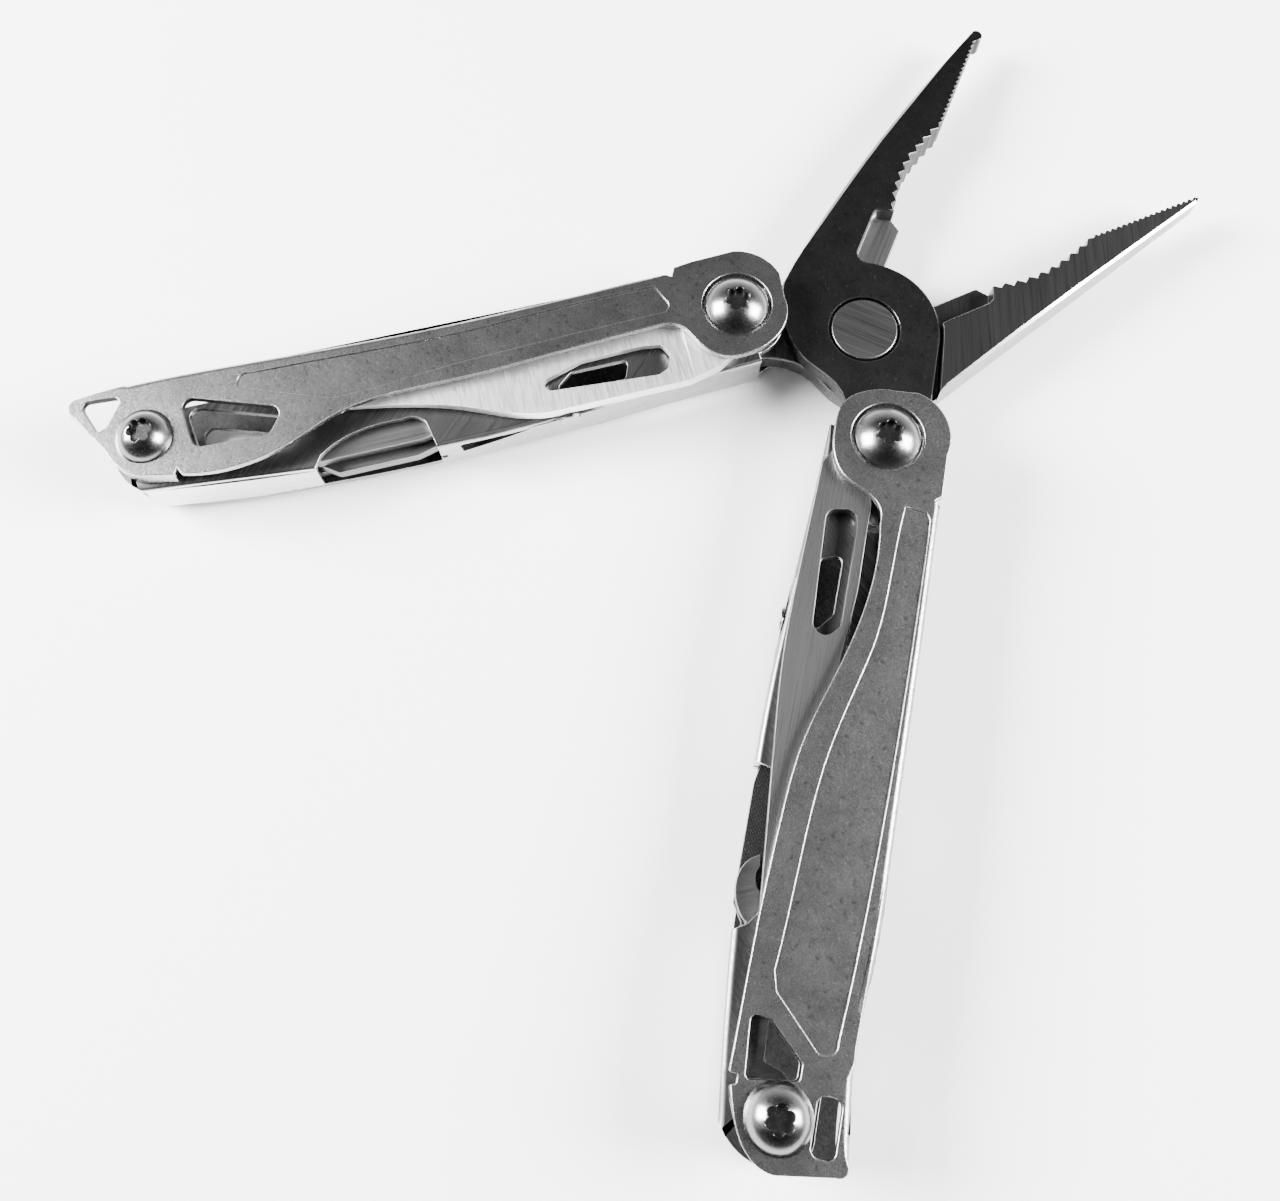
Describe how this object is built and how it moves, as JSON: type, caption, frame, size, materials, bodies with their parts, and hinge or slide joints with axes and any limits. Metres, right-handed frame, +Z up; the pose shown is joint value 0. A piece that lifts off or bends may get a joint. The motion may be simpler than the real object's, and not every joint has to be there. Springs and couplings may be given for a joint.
{
  "type": "folding multi tool",
  "caption": "Folding pocket multi tool with sprung needle-nose pliers between two handles that hold a knife, a saw and smaller inner tools.",
  "frame": {"origin": "middle of the box's base, on the surface the tool lies on", "axes": "+Z up out of the front side plates, +Y along the middle of the open jaws, handles towards -Y"},
  "size_m": [0.1344, 0.1376, 0.0159],
  "materials": {
    "jaw_steel": "black oxide, satin",
    "plate_steel": "stonewashed dark grey, worn bright edges",
    "channel_steel": "polished sheet",
    "blade_steel": "ground across the edge",
    "saw_steel": "brushed lengthwise",
    "tool_steel": "satin",
    "screw_steel": "polished",
    "rivet_steel": "ground flush",
    "spring_steel": "plain wire",
    "washer_bronze": "plain bronze"
  },
  "bodies": {
    "plier_head": {"front_jaw": "jaw_steel", "pivot_rivet": "rivet_steel", "plier_spring": "spring_steel"},
    "rear_jaw": {"rear_jaw": "jaw_steel"},
    "knife_handle": {"knife_handle_front_plate": "plate_steel", "knife_handle_back_plate": "plate_steel", "knife_handle_channel": "channel_steel", "knife_pivot_post": "screw_steel", "knife_pivot_screw": "screw_steel", "knife_tool_post": "screw_steel", "knife_tool_screw": "screw_steel", "knife_blade_washers": "washer_bronze", "knife_tool_washers": "washer_bronze"},
    "saw_handle": {"saw_handle_front_plate": "plate_steel", "saw_handle_back_plate": "plate_steel", "saw_handle_channel": "channel_steel", "saw_pivot_post": "screw_steel", "saw_pivot_screw": "screw_steel", "saw_tool_post": "screw_steel", "saw_tool_screw": "screw_steel", "saw_blade_washers": "washer_bronze", "saw_tool_washers": "washer_bronze"},
    "knife_blade": {"knife_blade": "blade_steel"},
    "saw_blade": {"saw_blade": "saw_steel"},
    "phillips_driver": {"phillips_driver": "tool_steel"},
    "medium_flat_driver": {"medium_flat_driver": "tool_steel"},
    "small_flat_driver": {"small_flat_driver": "tool_steel"},
    "can_opener": {"can_opener": "tool_steel"},
    "wood_metal_file": {"wood_metal_file": "tool_steel"},
    "bottle_opener_driver": {"bottle_opener_driver": "tool_steel"}
  },
  "joints": [
    {"name": "plier_pivot", "type": "hinge", "parent": "plier_head", "child": "rear_jaw", "pos_m": [-0.00017, 0.01871, 0.0056], "axis": [0, 0, -1], "range_deg": [-43.8, 0], "stiffness_Nm_per_rad": 0.25, "springref_deg": 20.05},
    {"name": "knife_handle_fold", "type": "hinge", "parent": "rear_jaw", "child": "knife_handle", "pos_m": [-0.0138, 0.00711, 0.0056], "axis": [0, 0, 1], "range_deg": [-131.5, 0]},
    {"name": "saw_handle_fold", "type": "hinge", "parent": "plier_head", "child": "saw_handle", "pos_m": [0.01346, 0.00711, 0.0056], "axis": [0, 0, -1], "range_deg": [-131.5, 0]},
    {"name": "knife_open", "type": "hinge", "parent": "knife_handle", "child": "knife_blade", "pos_m": [-0.0138, 0.00711, 0.011], "axis": [0, 0, 1], "range_deg": [0, 64]},
    {"name": "saw_open", "type": "hinge", "parent": "saw_handle", "child": "saw_blade", "pos_m": [0.01346, 0.00711, 0.011], "axis": [0, 0, 1], "range_deg": [-64, 0]},
    {"name": "phillips_driver_open", "type": "hinge", "parent": "knife_handle", "child": "phillips_driver", "pos_m": [-0.05616, -0.0631, 0.0035], "axis": [0, 0, 1], "range_deg": [0, 175]},
    {"name": "medium_flat_driver_open", "type": "hinge", "parent": "knife_handle", "child": "medium_flat_driver", "pos_m": [-0.05616, -0.0631, 0.0055], "axis": [0, 0, 1], "range_deg": [0, 175]},
    {"name": "small_flat_driver_open", "type": "hinge", "parent": "knife_handle", "child": "small_flat_driver", "pos_m": [-0.05616, -0.0631, 0.0075], "axis": [0, 0, 1], "range_deg": [0, 175]},
    {"name": "can_opener_open", "type": "hinge", "parent": "saw_handle", "child": "can_opener", "pos_m": [0.05836, -0.0615, 0.0075], "axis": [0, 0, -1], "range_deg": [0, 175]},
    {"name": "wood_metal_file_open", "type": "hinge", "parent": "saw_handle", "child": "wood_metal_file", "pos_m": [0.05836, -0.0615, 0.0055], "axis": [0, 0, -1], "range_deg": [0, 175]},
    {"name": "bottle_opener_driver_open", "type": "hinge", "parent": "saw_handle", "child": "bottle_opener_driver", "pos_m": [0.05836, -0.0615, 0.0035], "axis": [0, 0, -1], "range_deg": [0, 175]}
  ]
}
